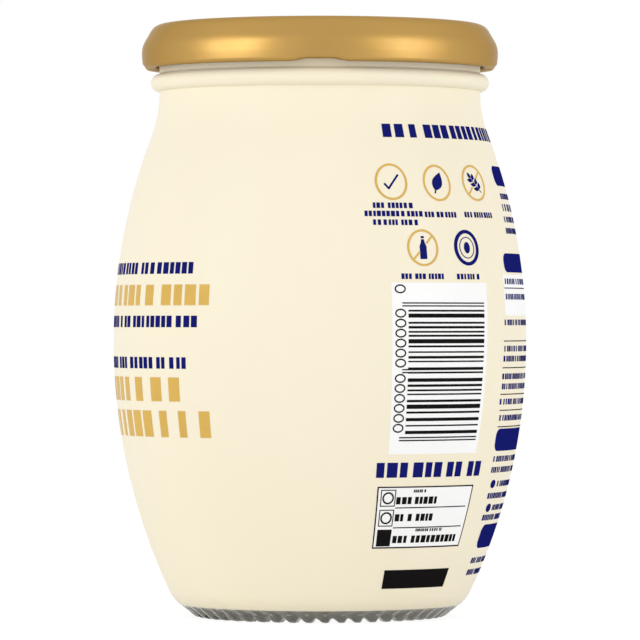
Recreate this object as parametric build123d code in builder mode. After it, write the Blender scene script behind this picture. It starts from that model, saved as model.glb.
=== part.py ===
from build123d import *
from math import acos, asin, atan2, cos, degrees, hypot, radians, sin, sqrt, tan
import os

os.makedirs("parts", exist_ok=True)

# A jar of mayonnaise: a round-bellied clear glass jar, its filling, a printed shrink
# sleeve that covers the belly, and a twist-off metal lid with four lugs.
# Millimetres. +Z is up, Z = 0 is the surface that the jar stands on, and the jar's
# axis is the Z axis. One lug of the lid faces -Y.

# ---- glass body, outside ----
belly_radius = 43.8        # widest radius of the glass
belly_height = 58.6        # height of the widest point above the foot
belly_curve = 122.5        # radius of the side's long arc above the widest point
neck_radius = 34.05        # outside radius of the glass at the neck
neck_curve = 26.1          # radius of the hollow arc that runs from the belly into the neck
heel_curve = 9.0           # radius of the heel's arc
heel_height = 9.5          # height of that arc's centre above the foot
heel_inset = 1.2           # how far that centre lies inside the middle of the standing ring
foot_radius = 25.1         # radius of the middle of the standing ring
foot_width = 1.4           # flat width of the standing ring
foot_round = 2.1           # radius of the ring's outer shoulder
knurl_count = 48           # notches round the standing ring
knurl_depth = 0.85         # depth of a notch
knurl_round = 1.3          # radius of a notch's bottom
knurl_skew = 20.0          # how far a notch turns away from radial, degrees

# ---- glass body, inside ----
wall = 2.6                 # glass thickness of the side and the neck
floor_height = 6.5         # inside floor at its edge, above the foot
floor_crown = 1.0          # rise of the inside floor towards its middle
floor_corner = 8.0         # inside corner between floor and side
push_up = 3.2              # hollow under the base at its middle
push_up_edge = 1.2         # height and width of the bevel inside the standing ring

# ---- finish: what the lid screws on to ----
bead_round = 1.7           # radius of the bead's section
bead_reach = 1.85          # how far the bead stands out from the neck
bead_rise = 2.0            # height of the bead's middle above the waist of the neck
bead_blend = 0.5           # fillet where the bead's upper side meets the neck
finish_height = 14.1       # from the waist of the neck to the sealing rim
lip_round = 1.1            # rounding of the sealing rim
thread_count = 4
thread_reach = 1.55        # how far a thread ridge stands out from the neck
thread_half_height = 0.7   # half the height of a ridge at its tip
thread_sweep = 62.0        # length of a ridge round the neck, degrees

# ---- filling ----
headspace = 8.0            # from the sealing rim down to the filling
fill_gap = 0.05            # clearance between the filling and the glass

# ---- sleeve ----
film = 0.15                # thickness of the sleeve
film_gap = 0.05            # clearance between the sleeve and the glass
sleeve_bottom = 2.7        # height of the sleeve's lower edge
sleeve_top = 117.3         # height of its upper edge, just inside the lid

# ---- lid ----
sheet = 0.3                # thickness of the metal
seat_gap = 0.05            # clearance between the sealing rim and the lid
lid_height = 9.5
curl_gap = 0.15            # clearance between the thread ridges and the lid's curl
curl_depth = 2.0           # width of the curl, seen in section
curl_height = 1.6          # height of the curl's inner wall
curl_round = 0.9           # rounding of the curl's underside
skirt_overhang = 0.19      # how far the skirt stands out from the curl
skirt_waist = 2.4          # height above the curl's underside where the skirt tucks in
skirt_turn = 5.0           # rounding between skirt and shoulder
shoulder_angle = 30.0      # slope of the shoulder, from vertical
shoulder_drop = 4.75       # height of the sloping shoulder
shoulder_round = 3.0       # rounding between shoulder and top
ring_width = 6.0           # flat raised ring round the top
panel_depth = 0.8          # how far the middle panel lies below the ring
step_width = 0.9           # width of the slope between ring and panel
step_round = 0.5           # rounding of the steps in the top
button_radius = 9.0        # safety button in the middle of the panel
button_rise = 0.4
lug_count = 4
lug_length = 12.4          # length of a lug round the lid
lug_lift = 0.55            # how far the curl is pressed up at a lug
lug_slope = 1.0            # length of the slope at each end of a lug
lug_bite = 0.95            # how far a lug reaches under a thread ridge
lug_thickness = 1.2        # height of a lug
lug_gap = 0.15             # clearance between a lug and the ridge above it

# ---- worked out from the values above ----
belly_x = belly_radius - belly_curve
neck_x = neck_radius + neck_curve
waist_height = belly_height + sqrt((belly_curve + neck_curve) ** 2 - (neck_x - belly_x) ** 2)
tangent_angle = degrees(atan2(waist_height - belly_height, neck_x - belly_x))
bead_height = waist_height + bead_rise
rim_height = waist_height + finish_height
lid_top = rim_height + seat_gap + sheet
lid_bottom = lid_top - lid_height
thread_radius = neck_radius + thread_reach
curl_radius = thread_radius + curl_gap
lid_radius = curl_radius + curl_depth + skirt_overhang
lug_bottom = lid_bottom + lug_lift
lug_top = lug_bottom + lug_thickness
thread_height = lug_top + lug_gap + thread_half_height


def polar(centre, radius, angle):
    """The point at an angle in degrees on a circle in the section plane."""
    return (
        centre[0] + radius * cos(radians(angle)),
        centre[1] + radius * sin(radians(angle)),
    )


belly_centre = (belly_x, belly_height)
neck_centre = (neck_x, waist_height)
heel_centre = (foot_radius - heel_inset, heel_height)
foot_outer = foot_radius + foot_width / 2
foot_inner = foot_radius - foot_width / 2
foot_centre = (foot_outer, foot_round)

# Below the widest point the side is one long arc that runs smoothly into the heel's arc.
heel_across = belly_radius - heel_centre[0]
heel_down = belly_height - heel_height
lower_curve = (heel_across**2 + heel_down**2 - heel_curve**2) / (
    2 * (heel_across - heel_curve)
)
lower_centre = (belly_radius - lower_curve, belly_height)
heel_angle = degrees(atan2(-heel_down, heel_centre[0] - lower_centre[0]))

# The straight flank between heel and foot touches both of their arcs. Its normal makes
# flank_angle with the horizontal, pointing down and out.
heel_to_foot = (foot_centre[0] - heel_centre[0], foot_centre[1] - heel_centre[1])
flank_angle = degrees(
    atan2(heel_to_foot[1], heel_to_foot[0])
    + acos((heel_curve - foot_round) / hypot(*heel_to_foot))
)


def long_arcs(shift, start_angle):
    """The side from start_angle on its lower arc up to the waist, moved outwards by shift."""
    CenterArc(lower_centre, lower_curve + shift, start_angle, -start_angle)
    CenterArc(belly_centre, belly_curve + shift, 0, tangent_angle)
    CenterArc(neck_centre, neck_curve - shift, 180 + tangent_angle, -tangent_angle)


def side_outline(shift, start_angle):
    """The jar's side from the heel up to the waist of the neck, moved outwards by shift.

    start_angle is where it begins on the heel's arc, in degrees from horizontal.
    """
    CenterArc(heel_centre, heel_curve + shift, start_angle, heel_angle - start_angle)
    long_arcs(shift, heel_angle)


def inside_outline(shift):
    """The jar's inside from the floor's middle up to the waist, moved inwards by shift.

    Returns the point at the middle of the floor.
    """
    inset = wall + shift
    corner_z = floor_height + shift + floor_corner
    # the corner's arc touches the floor's edge and the inside of the lower side
    to_corner = lower_curve - inset - floor_corner
    corner_x = lower_centre[0] + sqrt(to_corner**2 - (belly_height - corner_z) ** 2)
    corner_angle = -degrees(asin((belly_height - corner_z) / to_corner))
    crown = (0, floor_height + shift + floor_crown)
    crown_curve = (corner_x**2 + floor_crown**2) / (2 * floor_crown)
    crown_angle = degrees(asin(corner_x / crown_curve))
    CenterArc((0, crown[1] - crown_curve), crown_curve, 90, -crown_angle)
    CenterArc((corner_x, corner_z), floor_corner, -90, 90 + corner_angle)
    long_arcs(-inset, corner_angle)
    return crown


def radial_plane(angle):
    """The upright plane through the axis whose X points outwards at an angle from +X."""
    outwards = (cos(radians(angle)), sin(radians(angle)), 0)
    across = (sin(radians(angle)), -cos(radians(angle)), 0)
    return Plane(origin=(0, 0, 0), x_dir=outwards, z_dir=across)


# ---- jar ----
with BuildPart() as jar:
    with BuildSketch(Plane.XZ) as jar_section:
        with BuildLine() as jar_line:
            # under the base: the hollow, its bevel, the standing ring and the flank
            hollow_radius = foot_inner - push_up_edge
            hollow_rise = push_up - push_up_edge
            hollow_curve = (hollow_radius**2 + hollow_rise**2) / (2 * hollow_rise)
            hollow_sweep = degrees(asin(hollow_radius / hollow_curve))
            CenterArc((0, push_up - hollow_curve), hollow_curve, 90, -hollow_sweep)
            Polyline((hollow_radius, push_up_edge), (foot_inner, 0), (foot_outer, 0))
            CenterArc(foot_centre, foot_round, -90, 90 + flank_angle)
            Line(
                polar(foot_centre, foot_round, flank_angle),
                polar(heel_centre, heel_curve, flank_angle),
            )
            # the side, the bead and the sealing rim
            side_outline(0, flank_angle)
            bead_centre = (neck_radius + bead_reach - bead_round, bead_height)
            bead_edge = degrees(acos((neck_radius - bead_centre[0]) / bead_round))
            Line((neck_radius, waist_height), polar(bead_centre, bead_round, -bead_edge))
            CenterArc(bead_centre, bead_round, -bead_edge, 2 * bead_edge)
            Polyline(
                polar(bead_centre, bead_round, bead_edge),
                (neck_radius, rim_height),
                (neck_radius - wall, rim_height),
                (neck_radius - wall, waist_height),
            )
            Line(inside_outline(0), (0, push_up))
        make_face()
        fillet(
            jar_section.vertices().filter_by(lambda v: abs(v.Y - rim_height) < 0.01),
            lip_round,
        )
        fillet(
            jar_section.vertices().filter_by(
                lambda v: abs(v.X - neck_radius) < 0.01
                and bead_height < v.Y < bead_height + bead_round
            ),
            bead_blend,
        )
    revolve(axis=Axis.Z)

    # four thread ridges, each centred over a lug
    for number in range(thread_count):
        start = -90 - thread_sweep / 2 + number * 360 / thread_count
        with BuildSketch(radial_plane(start)):
            with BuildLine():
                Polyline(
                    (neck_radius - wall / 2, thread_height - thread_half_height),
                    (neck_radius, thread_height - thread_half_height),
                    (thread_radius, thread_height - thread_half_height / 2),
                    (thread_radius, thread_height + thread_half_height / 2),
                    (neck_radius, thread_height + 2 * thread_half_height),
                    (neck_radius - wall / 2, thread_height + 2 * thread_half_height),
                    close=True,
                )
            make_face()
        revolve(axis=Axis.Z, revolution_arc=thread_sweep)

    # slanting notches across the standing ring
    notch_length = 4 * foot_round + foot_width
    with PolarLocations(foot_radius, knurl_count, start_angle=180 / knurl_count):
        with Locations(Location((0, 0, knurl_depth - knurl_round), (0, 0, knurl_skew))):
            Cylinder(
                knurl_round,
                notch_length,
                rotation=(0, 90, 0),
                mode=Mode.SUBTRACT,
            )

# ---- mayonnaise ----
with BuildPart() as mayonnaise:
    with BuildSketch(Plane.XZ):
        with BuildLine():
            fill_height = rim_height - headspace
            fill_radius = neck_radius - wall - fill_gap
            fill_crown = inside_outline(fill_gap)
            Polyline(
                (fill_radius, waist_height),
                (fill_radius, fill_height),
                (0, fill_height),
                fill_crown,
            )
        make_face()
    revolve(axis=Axis.Z)

# ---- sleeve ----
with BuildPart() as sleeve:
    with BuildSketch(Plane.XZ):
        with BuildLine():
            inner_shift = film_gap
            outer_shift = film_gap + film
            below_heel = sleeve_bottom - heel_centre[1]
            inner_start = degrees(asin(below_heel / (heel_curve + inner_shift)))
            outer_start = degrees(asin(below_heel / (heel_curve + outer_shift)))
            side_outline(inner_shift, inner_start)
            side_outline(outer_shift, outer_start)
            Line(
                polar(heel_centre, heel_curve + inner_shift, inner_start),
                polar(heel_centre, heel_curve + outer_shift, outer_start),
            )
            # over the bead, round the fillet above it and up the neck
            blend_reach = bead_round + bead_blend
            blend_angle = degrees(acos((neck_radius + bead_blend - bead_centre[0]) / blend_reach))
            blend_centre = polar(bead_centre, blend_reach, blend_angle)
            for shift in (inner_shift, outer_shift):
                curve = bead_round + shift
                start = -degrees(acos((neck_radius + shift - bead_centre[0]) / curve))
                Line((neck_radius + shift, waist_height), polar(bead_centre, curve, start))
                CenterArc(bead_centre, curve, start, blend_angle - start)
                CenterArc(blend_centre, bead_blend - shift, 180 + blend_angle, -blend_angle)
                Line(
                    (neck_radius + shift, blend_centre[1]),
                    (neck_radius + shift, sleeve_top),
                )
            Line(
                (neck_radius + inner_shift, sleeve_top),
                (neck_radius + outer_shift, sleeve_top),
            )
        make_face()
    revolve(axis=Axis.Z)

# ---- lid ----
with BuildPart() as lid:
    shoulder_x = lid_radius - shoulder_drop * tan(radians(shoulder_angle))
    panel_radius = shoulder_x - ring_width - step_width
    panel_z = lid_top - panel_depth
    with BuildSketch(Plane.XZ):
        with BuildLine():
            # the outer face of the metal, from the axis out over the shoulder, down the
            # skirt and round into the curl
            FilletPolyline(
                (0, panel_z + button_rise),
                (button_radius, panel_z + button_rise),
                (button_radius + step_width, panel_z),
                (panel_radius, panel_z),
                (panel_radius + step_width, lid_top),
                (shoulder_x, lid_top),
                (lid_radius, lid_top - shoulder_drop),
                (lid_radius, lid_bottom + skirt_waist),
                (curl_radius + curl_depth, lid_bottom),
                (curl_radius, lid_bottom),
                (curl_radius, lid_bottom + curl_height),
                radius=[
                    step_round,
                    step_round,
                    step_round,
                    step_round,
                    shoulder_round,
                    skirt_turn,
                    skirt_turn,
                    curl_round,
                    curl_round,
                ],
            )
            offset(amount=-sheet, side=Side.RIGHT)
        make_face()
    revolve(axis=Axis.Z)

    # at each lug the curl is pressed flat, up and inwards, to reach under a ridge
    lug_sweep = degrees(lug_length / lid_radius)
    lug_inner = thread_radius - lug_bite
    skirt_slope = skirt_overhang / skirt_waist
    skirt_middle = curl_radius + curl_depth - sheet / 2
    for number in range(lug_count):
        start = -90 - lug_sweep / 2 + number * 360 / lug_count
        with BuildSketch(radial_plane(start)):
            with BuildLine():
                Polyline(
                    (lug_inner, lug_bottom),
                    (skirt_middle + skirt_slope * lug_lift, lug_bottom),
                    (skirt_middle + skirt_slope * (lug_top - lid_bottom), lug_top),
                    (lug_inner, lug_top),
                    close=True,
                )
            make_face()
        revolve(axis=Axis.Z, revolution_arc=lug_sweep)
    with BuildSketch(Plane.XZ.offset(lug_inner - lug_bite)):
        with BuildLine():
            Polyline(
                (-lug_length / 2, lid_bottom - lug_lift),
                (lug_length / 2, lid_bottom - lug_lift),
                (lug_length / 2 - lug_slope, lug_bottom),
                (lug_slope - lug_length / 2, lug_bottom),
                close=True,
            )
        make_face()
    windows = extrude(amount=curl_depth * 4, mode=Mode.PRIVATE)
    with PolarLocations(0, lug_count):
        add(windows, mode=Mode.SUBTRACT)

for node, piece in (
    ("jar", jar),
    ("mayonnaise", mayonnaise),
    ("sleeve", sleeve),
    ("lid", lid),
):
    piece.part.label = node
    export_step(piece.part, f"parts/{node}.step")
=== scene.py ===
"""Looks of a jar of mayonnaise: glass, filling, printed sleeve, twist-off lid and a plain studio."""

import logging
from dataclasses import dataclass, field
from enum import Enum
from math import acos, asin, atan2, ceil, cos, degrees, hypot, pi, radians, sin, sqrt, tan

import bpy
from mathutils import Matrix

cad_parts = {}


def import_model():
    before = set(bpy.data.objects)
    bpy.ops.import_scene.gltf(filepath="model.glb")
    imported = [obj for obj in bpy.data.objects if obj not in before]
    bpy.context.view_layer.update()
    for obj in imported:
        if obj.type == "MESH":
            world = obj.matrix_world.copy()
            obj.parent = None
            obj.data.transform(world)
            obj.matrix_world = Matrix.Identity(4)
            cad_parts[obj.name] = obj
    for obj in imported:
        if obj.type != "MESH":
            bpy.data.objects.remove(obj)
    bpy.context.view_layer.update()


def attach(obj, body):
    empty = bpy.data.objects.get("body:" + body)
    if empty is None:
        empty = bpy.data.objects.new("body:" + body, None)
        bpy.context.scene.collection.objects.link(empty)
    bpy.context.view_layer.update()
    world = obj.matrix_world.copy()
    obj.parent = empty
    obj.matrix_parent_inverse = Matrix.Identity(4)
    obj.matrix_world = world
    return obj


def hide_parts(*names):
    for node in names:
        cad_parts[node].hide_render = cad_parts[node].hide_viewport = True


LOG = logging.getLogger("mayonnaise_jar")
MM = 0.001
BODY = "root"

Point = tuple[float, float]
Corner = tuple[float, float, float]
Colour = tuple[float, float, float]
Outline = list[Point]
Face = tuple[int, ...]
Socket = bpy.types.NodeSocket
Value = float | Socket
Paint = tuple[float, float, float, float] | Socket


# ---------------------------------------------------------------------------
# Section drawing, in millimetres: a point is (distance from the axis, height)
# ---------------------------------------------------------------------------


def polar(centre: Point, radius: float, angle: float) -> Point:
    """Gives a point on a circle.

    Args:
        centre: The circle's centre.
        radius: Its radius.
        angle: Degrees from the outward horizontal, upwards.

    Returns:
        The point.
    """
    return centre[0] + radius * cos(radians(angle)), centre[1] + radius * sin(radians(angle))


def metres(span: Point) -> Point:
    """Turns two lengths from millimetres into metres."""
    return span[0] * MM, span[1] * MM


def arc(centre: Point, radius: float, start: float, end: float, steps: int) -> Outline:
    """Draws an arc.

    Args:
        centre: The arc's centre.
        radius: Its radius.
        start: Angle of the first point, in degrees.
        end: Angle of the last point, in degrees.
        steps: Number of chords.

    Returns:
        The arc's points, both ends included.
    """
    return [polar(centre, radius, start + (end - start) * i / steps) for i in range(steps + 1)]


def straight(start: Point, end: Point, steps: int) -> Outline:
    """Draws a straight run.

    Args:
        start: First point.
        end: Last point.
        steps: Number of equal pieces.

    Returns:
        The run's points, both ends included.
    """
    return [
        (start[0] + (end[0] - start[0]) * i / steps, start[1] + (end[1] - start[1]) * i / steps)
        for i in range(steps + 1)
    ]


def joined(*runs: Outline) -> Outline:
    """Joins runs end to end and drops points that repeat.

    Args:
        runs: The runs, in order.

    Returns:
        One outline.
    """
    outline: Outline = []
    for point in (p for run in runs for p in run):
        if not outline or hypot(point[0] - outline[-1][0], point[1] - outline[-1][1]) > 1e-4:
            outline.append(point)
    return outline


def rounded(corners: Outline, radii: list[float], steps: int = 8) -> Outline:
    """Rounds the inner corners of an open outline.

    Args:
        corners: The outline's corners, with both ends.
        radii: A radius for each corner between the ends.
        steps: Chords in each rounding.

    Returns:
        The outline's points.
    """
    outline = [corners[0]]
    for before, corner, after, radius in zip(corners, corners[1:], corners[2:], radii):
        back = atan2(before[1] - corner[1], before[0] - corner[0])
        ahead = atan2(after[1] - corner[1], after[0] - corner[0])
        half_turn = ((ahead - back + pi) % (2 * pi) - pi) / 2
        bisector = back + half_turn
        reach = radius / abs(sin(half_turn))
        centre = (corner[0] + reach * cos(bisector), corner[1] + reach * sin(bisector))
        side = 1 if half_turn > 0 else -1
        start = degrees(back) - side * 90
        sweep = degrees(pi - abs(2 * half_turn)) * side
        outline += arc(centre, radius, start, start - sweep, steps)
    return outline + [corners[-1]]


def moved_in(outline: Outline, distance: float) -> Outline:
    """Draws a parallel outline on the right-hand side.

    Args:
        outline: An open outline.
        distance: How far to move.

    Returns:
        As many points, each moved square to the outline.
    """
    last = len(outline) - 1
    result = []
    for i, (x, z) in enumerate(outline):
        ahead, behind = outline[min(i + 1, last)], outline[max(i - 1, 0)]
        run, rise = ahead[0] - behind[0], ahead[1] - behind[1]
        length = hypot(run, rise)
        result.append((max(x + distance * rise / length, 0.0), z - distance * run / length))
    return result


# ---------------------------------------------------------------------------
# Meshes
# ---------------------------------------------------------------------------


def plain_mesh(
    name: str, points: list[Corner], faces: list[Face], crease: float = 35.0
) -> bpy.types.Mesh:
    """Makes a mesh, smooth apart from its creases.

    Args:
        name: The mesh's name.
        points: Corners in metres.
        faces: Corner numbers of each face.
        crease: Angle in degrees past which an edge stays sharp.

    Returns:
        The mesh.
    """
    mesh = bpy.data.meshes.new(name)
    mesh.from_pydata(points, [], faces)
    mesh.update()
    mesh.polygons.foreach_set("use_smooth", [True] * len(mesh.polygons))
    mesh.set_sharp_from_angle(angle=radians(crease))
    return mesh


def placed(mesh: bpy.types.Mesh, name: str) -> bpy.types.Object:
    """Puts a mesh into the scene at the origin.

    Args:
        mesh: The mesh.
        name: The object's name.

    Returns:
        The object.
    """
    piece = bpy.data.objects.new(name, mesh)
    bpy.context.scene.collection.objects.link(piece)
    return piece


def turned(name: str, outline: Outline, segments: int, ring: bool = False) -> bpy.types.Mesh:
    """Turns a section round the Z axis into a closed mesh.

    The solid lies on the left of the outline's direction, so faces point outwards.

    Args:
        name: The mesh's name.
        outline: The section. It starts and ends on the axis unless it is a ring.
        segments: Number of steps round the axis.
        ring: Whether the outline closes on itself and stays off the axis.

    Returns:
        The mesh.
    """
    points: list[Corner] = []
    rows: list[list[int]] = []
    for radius, height in outline:
        count = 1 if radius < 1e-6 else segments
        rows.append([len(points) + j % count for j in range(segments + 1)])
        for j in range(count):
            turn = 2 * pi * j / segments
            points.append((radius * MM * sin(turn), -radius * MM * cos(turn), height * MM))
    pairs = list(zip(rows, rows[1:]))
    if ring:
        pairs.append((rows[-1], rows[0]))
    faces = []
    for low, high in pairs:
        for j in range(segments):
            corners = (low[j], low[j + 1], high[j + 1], high[j])
            faces.append(tuple(dict.fromkeys(corners)))
    return plain_mesh(name, points, faces)


# ---------------------------------------------------------------------------
# Node trees
# ---------------------------------------------------------------------------


class Wires:
    """Writes sums on sockets as nodes of one tree, for shaders and geometry alike."""

    def __init__(self, tree: bpy.types.NodeTree) -> None:
        """Keeps the tree that nodes are added to."""
        self.tree = tree

    def node(self, kind: str, inputs: dict | None = None, **settings) -> bpy.types.Node:
        """Adds a node.

        Args:
            kind: The node's type.
            inputs: Socket names or numbers, each with a value or a socket to link.
            settings: Properties of the node.

        Returns:
            The node.
        """
        made = self.tree.nodes.new(kind)
        for name, value in settings.items():
            setattr(made, name, value)
        for key, value in (inputs or {}).items():
            self.put(made.inputs[key], value)
        return made

    def put(self, socket: Socket, value: object) -> None:
        """Links a socket to another, or sets its value.

        Args:
            socket: The input.
            value: An output socket, or a plain value.
        """
        if isinstance(value, Socket):
            self.tree.links.new(value, socket)
        else:
            socket.default_value = value

    def sum(self, operation: str, *values: Value) -> Socket:
        """Adds a Math node.

        Args:
            operation: The node's operation.
            values: Its inputs, as numbers or sockets.

        Returns:
            Its result.
        """
        made = self.node("ShaderNodeMath", dict(enumerate(values)), operation=operation)
        return made.outputs[0]

    def add(self, *values: Value) -> Socket:
        """Adds numbers or sockets up.

        Args:
            values: Two or more terms.

        Returns:
            Their sum.
        """
        total = values[0]
        for value in values[1:]:
            total = self.sum("ADD", total, value)
        return total

    def times(self, *values: Value) -> Socket:
        """Multiplies numbers or sockets.

        Args:
            values: Two or more factors.

        Returns:
            Their product.
        """
        total = values[0]
        for value in values[1:]:
            total = self.sum("MULTIPLY", total, value)
        return total

    def ramp(
        self, value: Value, start: Value, end: Value, low: float = 0.0, high: float = 1.0
    ) -> Socket:
        """Rises smoothly from low to high as value goes from start to end.

        Args:
            value: What is read.
            start: Where the rise begins.
            end: Where it ends.
            low: Result before start.
            high: Result after end.

        Returns:
            The result.
        """
        inputs = {0: value, 1: start, 2: end, 3: low, 4: high}
        made = self.node("ShaderNodeMapRange", inputs, interpolation_type="SMOOTHSTEP")
        return made.outputs[0]

    def fall(self, value: Value, start: Value, end: Value) -> Socket:
        """Falls smoothly from 1 to 0 as value goes from start to end.

        Args:
            value: What is read.
            start: Where the fall begins.
            end: Where it ends.

        Returns:
            The result.
        """
        return self.ramp(value, start, end, 1.0, 0.0)

    def round_axis(self, position: Socket) -> tuple[Socket, Socket, Socket, Socket, Socket]:
        """Splits a position into its parts round the Z axis.

        Args:
            position: A vector socket.

        Returns:
            Sockets for X, Y, height, distance from the axis, and turns from -Y towards +X.
        """
        parts = self.node("ShaderNodeSeparateXYZ", {0: position}).outputs
        x, y, height = parts[0], parts[1], parts[2]
        radius = self.sum("SQRT", self.add(self.times(x, x), self.times(y, y)))
        angle = self.sum("ARCTAN2", x, self.times(y, -1.0))
        return x, y, height, radius, self.times(angle, 1 / (2 * pi))

    def off_middle(self, turn: Value, count: Value) -> Socket:
        """Gives how far a turn lies from the middle of its sector, of several equal ones.

        Args:
            turn: Turns round the axis.
            count: Number of sectors in a full turn. One of them is centred on -Y.

        Returns:
            A share of the sector, from -0.5 to 0.5.
        """
        return self.add(self.sum("FRACT", self.add(self.times(turn, count), 0.5)), -0.5)


class ShapeTree:
    """A Geometry Nodes tree with named inputs, and the run that turns it into a plain mesh."""

    def __init__(self, name: str, inputs: dict[str, float | int]) -> None:
        """Makes the tree and its named sockets.

        Args:
            name: The tree's name.
            inputs: Each input's name and value. A whole number makes a whole-number socket.
        """
        self.tree = bpy.data.node_groups.new(name, "GeometryNodeTree")
        interface = self.tree.interface
        interface.new_socket("Geometry", in_out="INPUT", socket_type="NodeSocketGeometry")
        interface.new_socket("Geometry", in_out="OUTPUT", socket_type="NodeSocketGeometry")
        self.identifiers: dict[str, str] = {}
        self.values = dict(inputs)
        for label, value in inputs.items():
            kind = "NodeSocketInt" if isinstance(value, int) else "NodeSocketFloat"
            socket = interface.new_socket(label, in_out="INPUT", socket_type=kind)
            socket.default_value = value
            self.identifiers[label] = socket.identifier
        material = interface.new_socket(
            "Material", in_out="INPUT", socket_type="NodeSocketMaterial"
        )
        self.identifiers["Material"] = material.identifier
        self.wires = Wires(self.tree)
        self.start = self.wires.node("NodeGroupInput")
        self.end = self.wires.node("NodeGroupOutput")

    def input(self, label: str) -> Socket:
        """Gives the socket that a named input comes out of."""
        return self.start.outputs[label]

    def press(self, x: Socket, y: Socket, radius: Socket, outwards: Socket, lift: Socket) -> None:
        """Ends the tree in a move of every corner away from the axis and upwards.

        Args:
            x: The corner's X.
            y: Its Y.
            radius: Its distance from the axis.
            outwards: How far it moves away from the axis.
            lift: How far it moves up.
        """
        w = self.wires
        share = w.sum("DIVIDE", outwards, w.sum("MAXIMUM", radius, 1e-6))
        moved = {0: w.times(x, share), 1: w.times(y, share), 2: lift}
        offset = w.node("ShaderNodeCombineXYZ", moved).outputs[0]
        put = w.node("GeometryNodeSetPosition", {"Geometry": self.input("Geometry")})
        w.put(put.inputs["Offset"], offset)
        self.close(put.outputs[0])

    def close(self, geometry: Socket) -> None:
        """Ends the tree in Realize Instances and Set Material.

        Args:
            geometry: What the tree made.
        """
        realized = self.wires.node("GeometryNodeRealizeInstances", {0: geometry}).outputs[0]
        dressed = self.wires.node("GeometryNodeSetMaterial", {"Geometry": realized})
        self.wires.put(dressed.inputs["Material"], self.input("Material"))
        self.wires.put(self.end.inputs[0], dressed.outputs[0])

    def run(
        self,
        name: str,
        mesh: bpy.types.Mesh,
        material: bpy.types.Material,
        **values: float | int,
    ) -> bpy.types.Mesh:
        """Evaluates the tree on a mesh.

        Args:
            name: Name of the result.
            mesh: What the tree starts from.
            material: The finish it sets.
            values: Inputs that differ from the tree's own, with _ for a space.

        Returns:
            The plain mesh that comes out.
        """
        carrier = placed(mesh, name + "_carrier")
        modifier = carrier.modifiers.new("shape", "NODES")
        modifier.node_group = self.tree
        modifier[self.identifiers["Material"]] = material
        for label, value in values.items():
            modifier[self.identifiers[label.replace("_", " ")]] = value
        graph = bpy.context.evaluated_depsgraph_get()
        result = bpy.data.meshes.new_from_object(carrier.evaluated_get(graph), depsgraph=graph)
        carrier.modifiers.remove(modifier)
        bpy.data.objects.remove(carrier)
        result.name = name
        return result


# ---------------------------------------------------------------------------
# Finishes
# ---------------------------------------------------------------------------


def unevenness_group() -> bpy.types.NodeTree:
    """Makes the shader group that every finish uses for soft, uneven variation.

    Returns:
        A group with inputs Colour, Scale, Detail, Depth and outputs Colour, Value.
    """
    group = bpy.data.node_groups.get("soft_unevenness")
    if group:
        return group
    group = bpy.data.node_groups.new("soft_unevenness", "ShaderNodeTree")
    for label, kind, value in (
        ("Colour", "NodeSocketColor", (1.0, 1.0, 1.0, 1.0)),
        ("Scale", "NodeSocketFloat", 100.0),
        ("Detail", "NodeSocketFloat", 3.0),
        ("Depth", "NodeSocketFloat", 0.05),
    ):
        socket = group.interface.new_socket(label, in_out="INPUT", socket_type=kind)
        socket.default_value = value
    group.interface.new_socket("Colour", in_out="OUTPUT", socket_type="NodeSocketColor")
    group.interface.new_socket("Value", in_out="OUTPUT", socket_type="NodeSocketFloat")
    wires = Wires(group)
    start, end = wires.node("NodeGroupInput"), wires.node("NodeGroupOutput")
    where = wires.node("ShaderNodeTexCoord").outputs["Object"]
    noise = wires.node(
        "ShaderNodeTexNoise",
        {"Vector": where, "Scale": start.outputs["Scale"], "Detail": start.outputs["Detail"]},
    )
    signed = wires.add(noise.outputs[0], -0.5)
    factor = wires.add(wires.times(signed, start.outputs["Depth"]), 1.0)
    scaled = wires.node(
        "ShaderNodeVectorMath",
        {0: start.outputs["Colour"], "Scale": factor},
        operation="SCALE",
    )
    wires.put(end.inputs["Colour"], scaled.outputs[0])
    wires.put(end.inputs["Value"], noise.outputs[0])
    return group


def rgba(colour: Colour) -> tuple[float, float, float, float]:
    """Gives a colour with full opacity."""
    return (*colour, 1.0)


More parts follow.
